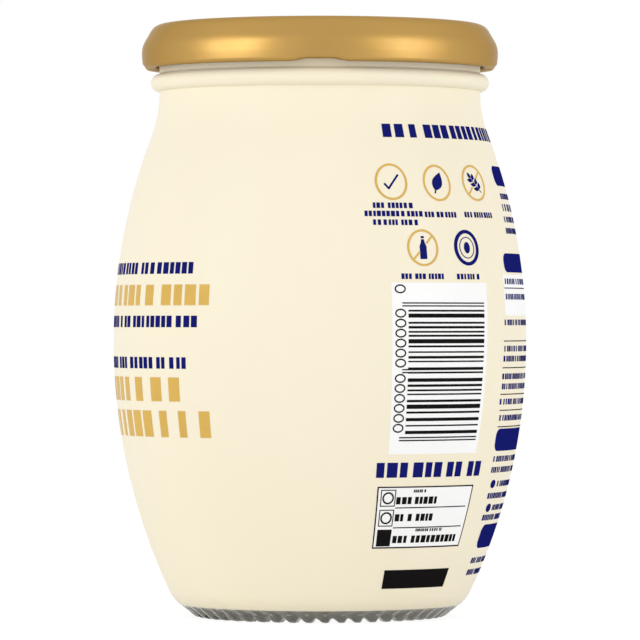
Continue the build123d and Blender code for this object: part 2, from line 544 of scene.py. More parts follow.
@dataclass(frozen=True)
class Finish:
    """A surface: its colour, its gloss, and how uneven both are."""

    name: str
    colour: Colour
    roughness: float
    mottle: float = 0.03
    mottle_scale: float = 90.0
    rough_spread: float = 0.06
    bump: float = 0.0
    bump_scale: float = 400.0
    metallic: float = 0.0
    specular: float = 0.5
    coat: float = 0.0
    coat_roughness: float = 0.1
    edge_tint: Colour = (1.0, 1.0, 1.0)

    def shader(self, wires: Wires) -> bpy.types.Node:
        """Adds the Principled shader with this finish's plain values.

        Args:
            wires: The material's tree.

        Returns:
            The shader node.
        """
        made = wires.node("ShaderNodeBsdfPrincipled")
        made.inputs["Metallic"].default_value = self.metallic
        made.inputs["Specular IOR Level"].default_value = self.specular
        made.inputs["Coat Weight"].default_value = self.coat
        made.inputs["Coat Roughness"].default_value = self.coat_roughness
        made.inputs["Specular Tint"].default_value = rgba(self.edge_tint)
        return made

    def uneven(
        self, wires: Wires, colour: Paint, scale: float, depth: float
    ) -> bpy.types.Node:
        """Places the shared unevenness group.

        Args:
            wires: The material's tree.
            colour: The colour to vary, as a value or a socket.
            scale: Size of the variation, per metre.
            depth: How strong it is.

        Returns:
            The group's node.
        """
        made = wires.node("ShaderNodeGroup", node_tree=unevenness_group())
        for label, value in (("Colour", colour), ("Scale", scale), ("Depth", depth)):
            wires.put(made.inputs[label], value)
        return made

    def base(self, wires: Wires) -> Paint:
        """Gives the colour before it is varied, as a value or a socket."""
        return rgba(self.colour)

    def extras(self, wires: Wires, shader: bpy.types.Node) -> None:
        """Adds what only one kind of finish has."""

    def surface(self, wires: Wires, shader: bpy.types.Node) -> Socket:
        """Gives what the material's output shows."""
        return shader.outputs[0]

    def material(self) -> bpy.types.Material:
        """Makes the material, once.

        Returns:
            The material.
        """
        made = bpy.data.materials.get(self.name)
        if made:
            return made
        made = bpy.data.materials.new(self.name)
        made.use_nodes = True
        made.node_tree.nodes.clear()
        made.diffuse_color = rgba(self.colour)
        wires = Wires(made.node_tree)
        shader = self.shader(wires)
        mottled = self.uneven(wires, self.base(wires), self.mottle_scale, self.mottle)
        wires.put(shader.inputs["Base Color"], mottled.outputs["Colour"])
        low, high = self.roughness - self.rough_spread, self.roughness + self.rough_spread
        rough = wires.ramp(mottled.outputs["Value"], 0.3, 0.7, max(low, 0.0), high)
        wires.put(shader.inputs["Roughness"], rough)
        if self.bump:
            grain = self.uneven(wires, rgba(self.colour), self.bump_scale, 1.0)
            inputs = {"Height": grain.outputs["Value"], "Distance": self.bump * MM}
            relief = wires.node("ShaderNodeBump", inputs)
            wires.put(shader.inputs["Normal"], relief.outputs[0])
        self.extras(wires, shader)
        wires.node("ShaderNodeOutputMaterial", {"Surface": self.surface(wires, shader)})
        return made


@dataclass(frozen=True)
class GlassFinish(Finish):
    """Clear glass with painted shade in the standing ring, with a row of pearls above it."""

    bending: float = 1.52
    # Painted shade: the standing ring is darkened to stand in for the dim filling and base seen
    # through the glass
    foot_shade_colour: Colour = (0.36, 0.36, 0.34)
    foot_height: float = 2.9
    fade: float = 1.2
    shade: Colour = (0.995, 0.995, 0.99)
    pearl_count: int = 48
    pearl_place: float = 0.22
    pearl_height: float = 2.0
    pearl_round: float = 0.55
    pearl_relief: float = 0.25
    ring_radius: float = 26.5

    def base(self, wires: Wires) -> Socket:
        """Gives clear glass, with painted shade towards the foot.

        Args:
            wires: The material's tree.

        Returns:
            A colour socket.
        """
        where = wires.node("ShaderNodeTexCoord").outputs["Object"]
        height = wires.node("ShaderNodeSeparateXYZ", {0: where}).outputs[2]
        low, high = self.foot_height - self.fade, self.foot_height
        # Painted shade fades in below the foot height, as a darker glass colour
        shade_share = wires.ramp(height, low * MM, high * MM)
        mixed = wires.node("ShaderNodeMix", {"Factor": shade_share}, data_type="RGBA")
        wires.put(mixed.inputs[6], rgba(self.foot_shade_colour))
        wires.put(mixed.inputs[7], rgba(self.colour))
        return mixed.outputs[2]

    def extras(self, wires: Wires, shader: bpy.types.Node) -> None:
        """Lets light through, and raises the small pearls between the knurls.

        Args:
            wires: The material's tree.
            shader: The glass shader.
        """
        shader.inputs["Transmission Weight"].default_value = 1.0
        shader.inputs["IOR"].default_value = self.bending
        where = wires.node("ShaderNodeTexCoord").outputs["Object"]
        _, _, height, _, turn = wires.round_axis(where)
        counted = wires.times(turn, self.pearl_count)
        place = wires.sum("FRACT", wires.add(counted, self.pearl_place))
        pitch = 2 * pi * self.ring_radius / self.pearl_count * MM
        aside = wires.times(wires.add(place, -0.5), pitch)
        above = wires.add(height, -self.pearl_height * MM)
        square = wires.add(wires.times(aside, aside), wires.times(above, above))
        pearl = wires.fall(wires.sum("SQRT", square), 0.0, self.pearl_round * MM)
        inputs = {"Height": pearl, "Distance": self.pearl_relief * MM}
        relief = wires.node("ShaderNodeBump", inputs)
        wires.put(shader.inputs["Normal"], relief.outputs[0])

    def surface(self, wires: Wires, shader: bpy.types.Node) -> Socket:
        """Lets lamps and soft light reach what the glass holds.

        Args:
            wires: The material's tree.
            shader: The glass shader.

        Returns:
            The shader socket that the output shows.
        """
        path = wires.node("ShaderNodeLightPath").outputs
        passing = wires.sum("MAXIMUM", path["Is Shadow Ray"], path["Is Diffuse Ray"])
        clear = wires.node("ShaderNodeBsdfTransparent")
        clear.inputs["Color"].default_value = rgba(self.shade)
        mix = wires.node("ShaderNodeMixShader")
        for socket, value in zip(mix.inputs, (passing, shader.outputs[0], clear.outputs[0])):
            wires.put(socket, value)
        return mix.outputs[0]


@dataclass(frozen=True)
class FillingFinish(Finish):
    """Mayonnaise: dense and pale, with a little light spreading under its surface."""

    spread: Colour = (1.0, 0.7, 0.4)
    spread_depth: float = 1.2
    spread_share: float = 0.25

    def extras(self, wires: Wires, shader: bpy.types.Node) -> None:
        """Lets light spread under the surface.

        Args:
            wires: The material's tree.
            shader: The filling's shader.
        """
        shader.inputs["Subsurface Weight"].default_value = self.spread_share
        shader.inputs["Subsurface Radius"].default_value = self.spread
        shader.inputs["Subsurface Scale"].default_value = self.spread_depth * MM


class Inks(Enum):
    """The sleeve's inks and how far each lies above the glass, in millimetres."""

    WHITE = ("print_white", 0.15)
    NAVY = ("print_navy", 0.165)
    GOLD = ("print_gold", 0.165)
    BLACK = ("print_black", 0.18)


GLASS = GlassFinish("jar_glass", (0.995, 1.0, 0.99), 0.05, mottle=0.01, rough_spread=0.01)
FILLING = FillingFinish(
    "cream_filling", (0.98, 0.94, 0.81), 0.4, mottle=0.02, bump=0.05, bump_scale=250.0
)
FILM = Finish(
    "sleeve_film",
    (0.93, 0.855, 0.67),
    0.4,
    mottle=0.012,
    bump=0.012,
    bump_scale=300.0,
    specular=0.15,
)
LACQUER = Finish(
    "lid_lacquer",
    (0.485, 0.292, 0.078),
    0.42,
    mottle=0.05,
    bump=0.006,
    bump_scale=900.0,
    metallic=1.0,
    coat=0.3,
    coat_roughness=0.18,
    edge_tint=(0.55, 0.45, 0.28),
)
INK_FINISHES: dict[Inks, Finish] = {
    Inks.WHITE: Finish("ink_white", (0.97, 0.97, 0.965), 0.4, 0.01, specular=0.2),
    Inks.NAVY: Finish("ink_navy", (0.009, 0.012, 0.15), 0.4, 0.15, 500.0, specular=0.0),
    Inks.GOLD: Finish("ink_gold", (0.7, 0.44, 0.095), 0.4, 0.25, 120.0, specular=0.15),
    Inks.BLACK: Finish("ink_black", (0.01, 0.009, 0.009), 0.4, 0.2, 500.0, specular=0.0),
}


# ---------------------------------------------------------------------------
# Glass
# ---------------------------------------------------------------------------


@dataclass
class GlassJar:
    """The blown glass jar: belly, hollow waist, bead, threaded finish and knurled foot."""

    belly_radius: float = 43.8
    belly_height: float = 58.6
    belly_curve: float = 122.5
    neck_radius: float = 34.05
    neck_curve: float = 26.1
    heel_curve: float = 9.0
    heel_height: float = 9.5
    heel_inset: float = 1.2
    foot_radius: float = 25.1
    foot_width: float = 1.4
    foot_round: float = 2.1
    wall: float = 2.6
    floor_height: float = 6.5
    floor_crown: float = 1.0
    floor_corner: float = 8.0
    push_up: float = 3.2
    push_up_edge: float = 1.2
    bead_round: float = 1.7
    bead_reach: float = 1.85
    bead_rise: float = 2.0
    neck_start: float = 4.2
    thread_zone: Point = (8.4, 3.6)
    finish_height: float = 14.1
    lip_round: float = 1.1
    knurl_count: int = 48
    knurl_depth: float = 0.92
    knurl_height: float = 2.4
    groove_depth: float = 0.35
    knurl_lean: float = 50.0
    notch_rise: Point = (0.04, 0.26)
    notch_fall: Point = (0.3, 0.78)
    ring_inside: Point = (-0.5, 0.5)
    ring_outside: Point = (0.2, 1.0)
    groove_rise: Point = (0.1, 1.0)
    groove_fall: Point = (1.5, 3.4)
    thread_count: int = 4
    thread_reach: float = 1.5
    thread_height: float = 119.1
    thread_rise: float = 1.6
    thread_end: Point = (0.29, 0.345)
    thread_flank: Point = (0.2, 1.2)
    neck_skin: Point = (-0.3, 0.0)
    segments: int = 576

    belly_centre: Point = field(init=False)
    neck_centre: Point = field(init=False)
    heel_centre: Point = field(init=False)
    foot_centre: Point = field(init=False)
    bead_centre: Point = field(init=False)
    lower_centre: Point = field(init=False)
    waist: float = field(init=False)
    tangent_angle: float = field(init=False)
    lower_curve: float = field(init=False)
    heel_angle: float = field(init=False)
    flank_angle: float = field(init=False)

    def __post_init__(self) -> None:
        """Works out the centres and angles of the section's arcs."""
        belly_x = self.belly_radius - self.belly_curve
        neck_x = self.neck_radius + self.neck_curve
        curves = self.belly_curve + self.neck_curve
        self.waist = self.belly_height + sqrt(curves**2 - (neck_x - belly_x) ** 2)
        self.belly_centre = (belly_x, self.belly_height)
        self.neck_centre = (neck_x, self.waist)
        self.tangent_angle = degrees(atan2(self.waist - self.belly_height, neck_x - belly_x))
        self.heel_centre = (self.foot_radius - self.heel_inset, self.heel_height)
        self.foot_centre = (self.foot_radius + self.foot_width / 2, self.foot_round)
        bead_x = self.neck_radius + self.bead_reach - self.bead_round
        self.bead_centre = (bead_x, self.waist + self.bead_rise)
        across = self.belly_radius - self.heel_centre[0]
        down = self.belly_height - self.heel_height
        square = across**2 + down**2 - self.heel_curve**2
        self.lower_curve = square / (2 * (across - self.heel_curve))
        self.lower_centre = (self.belly_radius - self.lower_curve, self.belly_height)
        self.heel_angle = degrees(atan2(-down, self.heel_centre[0] - self.lower_centre[0]))
        gap_x = self.foot_centre[0] - self.heel_centre[0]
        gap_z = self.foot_centre[1] - self.heel_centre[1]
        lean = acos((self.heel_curve - self.foot_round) / hypot(gap_x, gap_z))
        self.flank_angle = degrees(atan2(gap_z, gap_x) + lean)

    def long_arcs(self, shift: float, start: float, steps: int) -> Outline:
        """Draws the side from an angle on the lower arc up to the waist.

        Args:
            shift: How far outside the glass, in millimetres.
            start: The angle on the lower arc where it begins.
            steps: Chords in each of the two long arcs.

        Returns:
            The outline.
        """
        neck = (180 + self.tangent_angle, 180)
        return joined(
            arc(self.lower_centre, self.lower_curve + shift, start, 0, steps),
            arc(self.belly_centre, self.belly_curve + shift, 0, self.tangent_angle, steps),
            arc(self.neck_centre, self.neck_curve - shift, *neck, steps // 2),
        )

    def side(self, shift: float, start: float, steps: int) -> Outline:
        """Draws the side from an angle on the heel's arc up to the waist.

        Args:
            shift: How far outside the glass, in millimetres.
            start: The angle on the heel's arc where it begins.
            steps: Chords in each of the two long arcs.

        Returns:
            The outline.
        """
        heel = arc(self.heel_centre, self.heel_curve + shift, start, self.heel_angle, steps // 2)
        return joined(heel, self.long_arcs(shift, self.heel_angle, steps))

    def inside(self, shift: float, steps: int) -> Outline:
        """Draws the inside from the middle of the floor up to the waist.

        Args:
            shift: How far into the glass, in millimetres.
            steps: Chords in each of the two long arcs.

        Returns:
            The outline.
        """
        inset = self.wall - shift
        corner = self.floor_corner
        corner_z = self.floor_height - shift + corner
        to_corner = self.lower_curve - inset - corner
        corner_x = self.lower_centre[0] + sqrt(to_corner**2 - (self.belly_height - corner_z) ** 2)
        corner_angle = -degrees(asin((self.belly_height - corner_z) / to_corner))
        crown = self.floor_height - shift + self.floor_crown
        curve = (corner_x**2 + self.floor_crown**2) / (2 * self.floor_crown)
        crown_angle = degrees(asin(corner_x / curve))
        return joined(
            arc((0, crown - curve), curve, 90, 90 - crown_angle, 8),
            arc((corner_x, corner_z), corner, -90, corner_angle, 8),
            self.long_arcs(-inset, corner_angle, steps),
        )

    def radius_at(self, height: float, shift: float) -> float:
        """Gives the side's radius at a height.

        Args:
            height: Height in millimetres, between heel and waist.
            shift: How far outside the glass, in millimetres.

        Returns:
            The distance from the axis, in millimetres.
        """
        bend = self.belly_height + (self.belly_curve + shift) * sin(radians(self.tangent_angle))
        if height > bend:
            drop = self.waist - height
            return self.neck_centre[0] - sqrt((self.neck_curve - shift) ** 2 - drop**2)
        above = height > self.belly_height
        curve = (self.belly_curve if above else self.lower_curve) + shift
        centre = self.belly_centre if above else self.lower_centre
        return centre[0] + sqrt(curve**2 - (height - self.belly_height) ** 2)

    def section(self) -> Outline:
        """Draws the whole glass, from under the base round to the inside of the floor.

        Returns:
            The outline.
        """
        foot_inner = self.foot_radius - self.foot_width / 2
        hollow = foot_inner - self.push_up_edge
        rise = self.push_up - self.push_up_edge
        curve = (hollow**2 + rise**2) / (2 * rise)
        edge = degrees(acos((self.neck_radius - self.bead_centre[0]) / self.bead_round))
        neck, bore = self.neck_radius, self.neck_radius - self.wall
        rim = self.waist + self.finish_height
        low, high = (rim - below for below in self.thread_zone)
        lip = self.lip_round
        return joined(
            arc((0, self.push_up - curve), curve, 90, 90 - degrees(asin(hollow / curve)), 8),
            straight((hollow, self.push_up_edge), (foot_inner, 0), 4),
            straight((foot_inner, 0), (foot_inner + self.foot_width, 0), 3),
            arc(self.foot_centre, self.foot_round, -90, self.flank_angle, 8),
            self.side(0, self.flank_angle, 14),
            arc(self.bead_centre, self.bead_round, -edge, edge, 18),
            straight((neck, self.waist + self.neck_start), (neck, low), 2),
            straight((neck, low), (neck, high), 22),
            arc((neck - lip, rim - lip), lip, 0, 90, 6),
            arc((bore + lip, rim - lip), lip, 90, 180, 6),
            list(reversed(self.inside(0, 10))),
        )

    def relief_tree(self) -> ShapeTree:
        """Builds the tree that presses the knurls and raises the thread ridges.

        Returns:
            The tree.
        """
        shape = ShapeTree(
            "glass_relief",
            {
                "Knurl count": float(self.knurl_count),
                "Knurl depth": self.knurl_depth * MM,
                "Knurl height": self.knurl_height * MM,
                "Knurl lean": self.knurl_lean,
                "Groove depth": self.groove_depth * MM,
                "Ring radius": self.foot_radius * MM,
                "Ring width": self.foot_width * MM,
                "Thread count": float(self.thread_count),
                "Thread reach": self.thread_reach * MM,
                "Thread height": self.thread_height * MM,
                "Thread rise": self.thread_rise * MM,
                "Neck radius": self.neck_radius * MM,
            },
        )
        w = shape.wires
        position = w.node("GeometryNodeInputPosition").outputs[0]
        x, y, height, radius, turn = w.round_axis(position)

        # knurls: steep on one side, easy on the other, and leaning round the ring
        past_ring = w.add(radius, w.times(shape.input("Ring radius"), -1.0))
        lean = w.times(past_ring, shape.input("Knurl lean"))
        place = w.sum("FRACT", w.add(w.times(turn, shape.input("Knurl count")), lean, 0.5))
        notch = w.times(w.ramp(place, *self.notch_rise), w.fall(place, *self.notch_fall))
        low = w.fall(height, 0.0, shape.input("Knurl height"))
        inner = w.add(past_ring, w.times(shape.input("Ring width"), 1.6))
        on_ring = w.ramp(inner, *metres(self.ring_inside))
        lift = w.times(notch, low, on_ring, shape.input("Knurl depth"))
        fade = w.fall(height, *metres(self.groove_fall))
        flank = w.times(w.ramp(height, *metres(self.groove_rise)), fade)
        outside = w.ramp(past_ring, *metres(self.ring_outside))
        groove = w.times(notch, flank, outside, shape.input("Groove depth"), -1.0)

        # thread ridges that rise a little along their length
        along = w.off_middle(turn, shape.input("Thread count"))
        run = w.fall(w.sum("ABSOLUTE", along), *self.thread_end)
        middle = w.add(shape.input("Thread height"), w.times(along, shape.input("Thread rise")))
        away = w.sum("ABSOLUTE", w.add(height, w.times(middle, -1.0)))
        ridge = w.fall(away, *metres(self.thread_flank))
        past_neck = w.add(radius, w.times(shape.input("Neck radius"), -1.0))
        near_neck = w.ramp(past_neck, *metres(self.neck_skin))
        raised = w.times(run, ridge, near_neck, shape.input("Thread reach"))

        shape.press(x, y, radius, w.add(groove, raised), lift)
        return shape

    def build(self) -> bpy.types.Object:
        """Makes the glass.

        Returns:
            The finished piece.
        """
        plain = turned("glass_jar", self.section(), self.segments)
        mesh = self.relief_tree().run("glass_jar", plain, GLASS.material())
        piece = placed(mesh, "glass_jar")
        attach(piece, BODY)
        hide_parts("jar")
        return piece


# ---------------------------------------------------------------------------
# Filling
# ---------------------------------------------------------------------------


@dataclass
class Filling:
    """The mayonnaise, which reaches just into the glass all round."""

    glass: GlassJar
    bite: float = 0.1
    headspace: float = 8.0
    meniscus: float = 0.8
    swirl_depth: float = 0.5
    swirl_edge: float = 0.93
    rings: int = 24
    segments: int = 256

    def build(self) -> bpy.types.Object:
        """Makes the filling.

        Returns:
            The finished piece.
        """
        glass = self.glass
        level = glass.waist + glass.finish_height - self.headspace
        radius = glass.neck_radius - glass.wall + self.bite
        shares = [1 - i / self.rings for i in range(self.rings + 1)]
        surface = [(radius * share, level - self.meniscus * (1 - share**6)) for share in shares]
        outline = joined(glass.inside(self.bite, 24), surface)
        mesh = turned("mayonnaise_fill", outline, self.segments)
        for vertex in mesh.vertices:
            across = hypot(vertex.co.x, vertex.co.y) / (radius * MM)
            if vertex.co.z > (level - self.meniscus) * MM - 1e-6 and across < self.swirl_edge:
                turn = atan2(vertex.co.y, vertex.co.x)
                wave = sin(2 * turn + 9 * across) * across * (self.swirl_edge - across) * 4
                vertex.co.z -= self.swirl_depth * MM * (0.5 + 0.5 * wave)
        mesh.materials.append(FILLING.material())
        piece = placed(mesh, "mayonnaise_fill")
        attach(piece, BODY)
        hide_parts("mayonnaise")
        return piece


# ---------------------------------------------------------------------------
# Sleeve and print
# ---------------------------------------------------------------------------


@dataclass
class ShrinkSleeve:
    """The film that is shrunk on to the glass from the heel up to the lid."""

    glass: GlassJar
    inner_shift: float = 0.05
    outer_shift: float = 0.13
    bottom: float = 2.7
    top: float = 117.3
    blend: float = 0.5
    segments: int = 360

    def collar(self, shift: float) -> Outline:
        """Draws the film's way over the bead and up the neck.

        Args:
            shift: How far outside the glass, in millimetres.

        Returns:
            The outline, from the bead's underside up.
        """
        glass, centre = self.glass, self.glass.bead_centre
        neck, curve = glass.neck_radius + shift, glass.bead_round + shift
        start = -degrees(acos((neck - centre[0]) / curve))
        reach = glass.bead_round + self.blend
        turn = degrees(acos((glass.neck_radius + self.blend - centre[0]) / reach))
        corner = polar(centre, reach, turn)
        return joined(
            arc(centre, curve, start, turn, 18),
            arc(corner, self.blend - shift, 180 + turn, 180, 4),
            [(neck, self.top)],
        )

    def build(self) -> bpy.types.Object:
        """Makes the film.

        Returns:
            The finished piece.
        """
        glass = self.glass
        below = self.bottom - glass.heel_centre[1]
        runs = []
        for shift in (self.outer_shift, self.inner_shift):
            start = degrees(asin(below / (glass.heel_curve + shift)))
            runs.append(joined(glass.side(shift, start, 26), self.collar(shift)))
        outline = joined(runs[0], list(reversed(runs[1])))
        mesh = turned("shrink_sleeve", outline, self.segments, ring=True)
        mesh.materials.append(FILM.material())
        piece = placed(mesh, "shrink_sleeve")
        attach(piece, BODY)
        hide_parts("sleeve")
        return piece


def block_row_tree() -> ShapeTree:
    """Builds the tree that sets a row of blocks of uneven length, which fills a given length.

    Returns:
        The tree.
    """
    shape = ShapeTree(
        "block_row",
        {
            "Block count": 6,
            "Row length": 10.0,
            "Block height": 1.0,
            "Shortest": 0.5,
            "Longest": 1.0,
            "Gap": 0.2,
            "Widest gap": 0.2,
            "Skew": 1.0,
            "Gap skew": 4.0,
            "Columns": 5,
            "Rows": 2,
            "Seed": 1,
        },
    )
    w = shape.wires
    dots = w.node("GeometryNodeMeshLine", {"Count": shape.input("Block count")})
    w.put(dots.inputs["Offset"], (0.0, 0.0, 0.0))

    def between(low: str, high: str, skew: str, apart: float) -> Socket:
        """Draws a random length between two inputs.

        Args:
            low: Name of the input with the least length.
            high: Name of the input with the greatest.
            skew: Name of the input whose size past 1 pulls lengths to the least.
            apart: What is added to the seed.

        Returns:
            The length.
        """
        draw = w.node("FunctionNodeRandomValue", data_type="FLOAT")
        w.put(draw.inputs["Seed"], w.add(shape.input("Seed"), apart))
        share = w.sum("POWER", draw.outputs[1], shape.input(skew))
        span = w.add(shape.input(high), w.times(shape.input(low), -1.0))
        return w.add(shape.input(low), w.times(span, share))

    value = between("Shortest", "Longest", "Skew", 0.0)
    running = w.node("GeometryNodeAccumulateField", data_type="FLOAT")
    w.put(running.inputs[0], w.add(value, between("Gap", "Widest gap", "Gap skew", 500.0)))
    gap = shape.input("Gap")
    whole = w.add(running.outputs["Total"], w.times(gap, -1.0))
    fit = w.sum("DIVIDE", shape.input("Row length"), whole)
    middle = w.times(w.add(running.outputs["Trailing"], w.times(value, 0.5)), fit)
    where = w.node("ShaderNodeCombineXYZ", {0: middle}).outputs[0]
    spread = w.node("GeometryNodeSetPosition", {"Geometry": dots.outputs[0]})
    w.put(spread.inputs["Position"], where)
    block = w.node("GeometryNodeMeshGrid", {"Size X": 1.0, "Size Y": 1.0})
    w.put(block.inputs["Vertices X"], shape.input("Columns"))
    w.put(block.inputs["Vertices Y"], shape.input("Rows"))
    size = {0: w.times(value, fit), 1: shape.input("Block height"), 2: 1.0}
    scale = w.node("ShaderNodeCombineXYZ", size).outputs[0]
    inputs = {"Points": spread.outputs[0], "Instance": block.outputs["Mesh"], "Scale": scale}
    blocks = w.node("GeometryNodeInstanceOnPoints", inputs)
    shape.close(blocks.outputs[0])
    return shape


@dataclass
class Sheet:
    """Flat ink shapes on the unrolled sleeve: corners as (degrees round, height) and faces."""

    corners: list[Point] = field(default_factory=list)
    faces: list[Face] = field(default_factory=list)

    def add(self, corners: list[Point], faces: list[Face]) -> None:
        """Adds a shape.

        Args:
            corners: Its corners.
            faces: Its faces, counted within the shape.
        """
        base = len(self.corners)
        self.corners += corners
        self.faces += [tuple(base + i for i in face) for face in faces]


@dataclass
class Row:
    """A line of small blocks that stands where a line of text would be."""

    start: float
    end: float
    height: float
    tall: float = 1.1
    ink: Inks = Inks.NAVY


@dataclass
class InkPress:
    """Draws flat shapes in four inks and rolls them on to the sleeve."""

    glass: GlassJar
    thickness: float = 0.012
    piece_length: float = 1.3
    strip_height: float = 2.5
    least_half: float = 0.004
    letter_pitch: float = 0.85
    letter_widths: Point = (0.4, 0.7)
    letter_gaps: Point = (0.17, 0.8)
    seed: int = 7
    tree: ShapeTree = field(default_factory=block_row_tree)
    sheets: dict[Inks, Sheet] = field(default_factory=lambda: {ink: Sheet() for ink in Inks})
    rows_made: int = 0

    def degrees_per_mm(self, height: float) -> float:
        """Gives the turn that one millimetre round the sleeve takes at a height."""
        return degrees(1 / self.glass.radius_at(height, 0))

    def ribbon(
        self,
        ink: Inks,
        centre: Point,
        path: list[Point],
        half_widths: list[float],
        squeeze: float = 1.0,
        across: int = 1,
        closed: bool = False,
    ) -> None:
        """Lays a flat ribbon on the sleeve.

        Args:
            ink: The ink it is printed in.
            centre: Where its own origin lies, as (degrees round, height).
            path: Its middle line, in millimetres from that origin.
            half_widths: Half its width at each point of the path.
            squeeze: Factor on the width of the whole figure.
            across: Number of strips side by side.
            closed: Whether the path ends where it starts.
        """
        turn = self.degrees_per_mm(centre[1]) * squeeze
        last = len(path) - 1
        corners: list[Point] = []
        for i, ((x, z), half) in enumerate(zip(path, half_widths)):
            ahead = path[(i + 1) % len(path)] if closed else path[min(i + 1, last)]
            behind = path[i - 1] if closed or i else path[0]
            run, rise = ahead[0] - behind[0], ahead[1] - behind[1]
            length = hypot(run, rise)
            for k in range(across + 1):
                side = half * (2 * k / across - 1)
                px, pz = x - side * rise / length, z + side * run / length
                corners.append((centre[0] + px * turn, centre[1] + pz))
        faces = []
        width = across + 1
        for i in range(last + 1 if closed else last):
            nxt = (i + 1) % (last + 1)
            for k in range(across):
                a, b = i * width + k, nxt * width + k
                faces.append((a, b, b + 1, a + 1))
        self.sheets[ink].add(corners, faces)

    def colour_field(
        self,
        ink: Inks,
        left: float,
        right: float,
        low: float,
        high: float,
        corner: float = 0.0,
    ) -> None:
        """Prints a plain field.

        Args:
            ink: Its ink.
            left: Left edge, in degrees.
            right: Right edge, in degrees.
            low: Lower edge, in millimetres.
            high: Upper edge, in millimetres.
            corner: Radius of its corners.
        """
        middle = (low + high) / 2
        turn = self.degrees_per_mm(middle)
        length = (right - left) / turn
        steps = max(int(ceil(length / self.piece_length)), 2)
        half = (high - low) / 2
        places = [length * i / steps for i in range(steps + 1)]
        if corner:
            curve = [corner * (1 - cos(pi * i / 16)) for i in range(9)]
            ends = [length - c for c in reversed(curve)]
            past = corner * 1.05
            places = curve + [p for p in places if past < p < length - past] + ends
        halves = []
        for place in places:
            inset = max(corner - min(place, length - place), 0.0)
            halves.append(half - corner + sqrt(max(corner**2 - inset**2, 0.0)) if inset else half)
        path = [(place, 0.0) for place in places]
        across = max(int(ceil((high - low) / self.strip_height)), 1)
        halves = [max(h, self.least_half) for h in halves]
        self.ribbon(ink, (left, middle), path, halves, across=across)

    def line(self, ink: Inks, left: float, right: float, height: float, width: float) -> None:
        """Prints a thin level line.

        Args:
            ink: Its ink.
            left: Left end, in degrees.
            right: Right end, in degrees.
            height: Its height, in millimetres.
            width: Its thickness.
        """
        self.colour_field(ink, left, right, height - width / 2, height + width / 2)

    def upright(self, ink: Inks, turn: float, low: float, high: float, width: float) -> None:
        """Prints a thin upright line.

        Args:
            ink: Its ink.
            turn: Where it stands, in degrees.
            low: Lower end, in millimetres.
            high: Upper end.
            width: Its thickness.
        """
        half = width / 2 * self.degrees_per_mm((low + high) / 2)
        steps = int(ceil((high - low) / self.piece_length))
        corners = []
        for i in range(steps + 1):
            z = low + (high - low) * i / steps
            corners += [(turn - half, z), (turn + half, z)]
        faces = [(2 * i, 2 * i + 1, 2 * i + 3, 2 * i + 2) for i in range(steps)]
        self.sheets[ink].add(corners, faces)

    def oval(
        self, ink: Inks, centre: Point, radii: Point, width: float, squeeze: float = 1.0
    ) -> None:
        """Prints an oval ring.

        Args:
            ink: Its ink.
            centre: Its centre.
            radii: Half its width and half its height, to the middle of the line.
            width: Width of the line.
            squeeze: Factor on the width of the whole figure.
        """
        turns = [2 * pi * i / 48 for i in range(48)]
        path = [(radii[0] * cos(turn), radii[1] * sin(turn)) for turn in turns]
        self.ribbon(ink, centre, path, [width / 2] * 48, squeeze, closed=True)

    def disc(self, ink: Inks, centre: Point, radii: Point) -> None:
        """Prints a filled oval.

        Args:
            ink: Its ink.
            centre: Its centre.
            radii: Half its width and half its height.
        """
        places = [-cos(pi * i / 12) for i in range(13)]
        path = [(radii[0] * p, 0.0) for p in places]
        halves = [max(radii[1] * sqrt(max(1 - p * p, 0.0)), self.least_half) for p in places]
        self.ribbon(ink, centre, path, halves, across=2)

    def blocks(self, ink: Inks, **values: float | int) -> bpy.types.Mesh:
        """Sets a row of blocks with a seed of its own.

        Args:
            ink: Their ink.
            values: The tree's inputs, with _ for a space.

        Returns:
            The row as a flat mesh in millimetres, from the origin along X.
        """
        self.rows_made += 1
        start = bpy.data.meshes.new("row_start")
        seed = self.seed + self.rows_made
        return self.tree.run("row", start, INK_FINISHES[ink].material(), Seed=seed, **values)

    def lay(self, ink: Inks, mesh: bpy.types.Mesh, corners: list[Point]) -> None:
        """Lays a row on the sleeve.

        Args:
            ink: Its ink.
            mesh: The row's mesh, which is used up.
            corners: Where each of its corners comes to lie.
        """
        self.sheets[ink].add(corners, [tuple(p.vertices) for p in mesh.polygons])
        bpy.data.meshes.remove(mesh)

    def word_row(self, row: Row) -> None:
        """Prints one line of letter-wide blocks with gaps here and there.

        Args:
            row: The line.
        """
        turn = self.degrees_per_mm(row.height)
        length = (row.end - row.start) / turn
        mesh = self.blocks(
            row.ink,
            Block_count=max(int(round(length / (self.letter_pitch * row.tall))), 1),
            Row_length=length,
            Block_height=row.tall,
            Shortest=row.tall * self.letter_widths[0],
            Longest=row.tall * self.letter_widths[1],
            Gap=row.tall * self.letter_gaps[0],
            Widest_gap=row.tall * self.letter_gaps[1],
            Columns=2 if row.tall < 1.5 else 3,
            Rows=2 if row.tall < 2.0 else 4,
        )
        corners = [(row.start + v.co.x * turn, row.height + v.co.y) for v in mesh.vertices]
        self.lay(row.ink, mesh, corners)

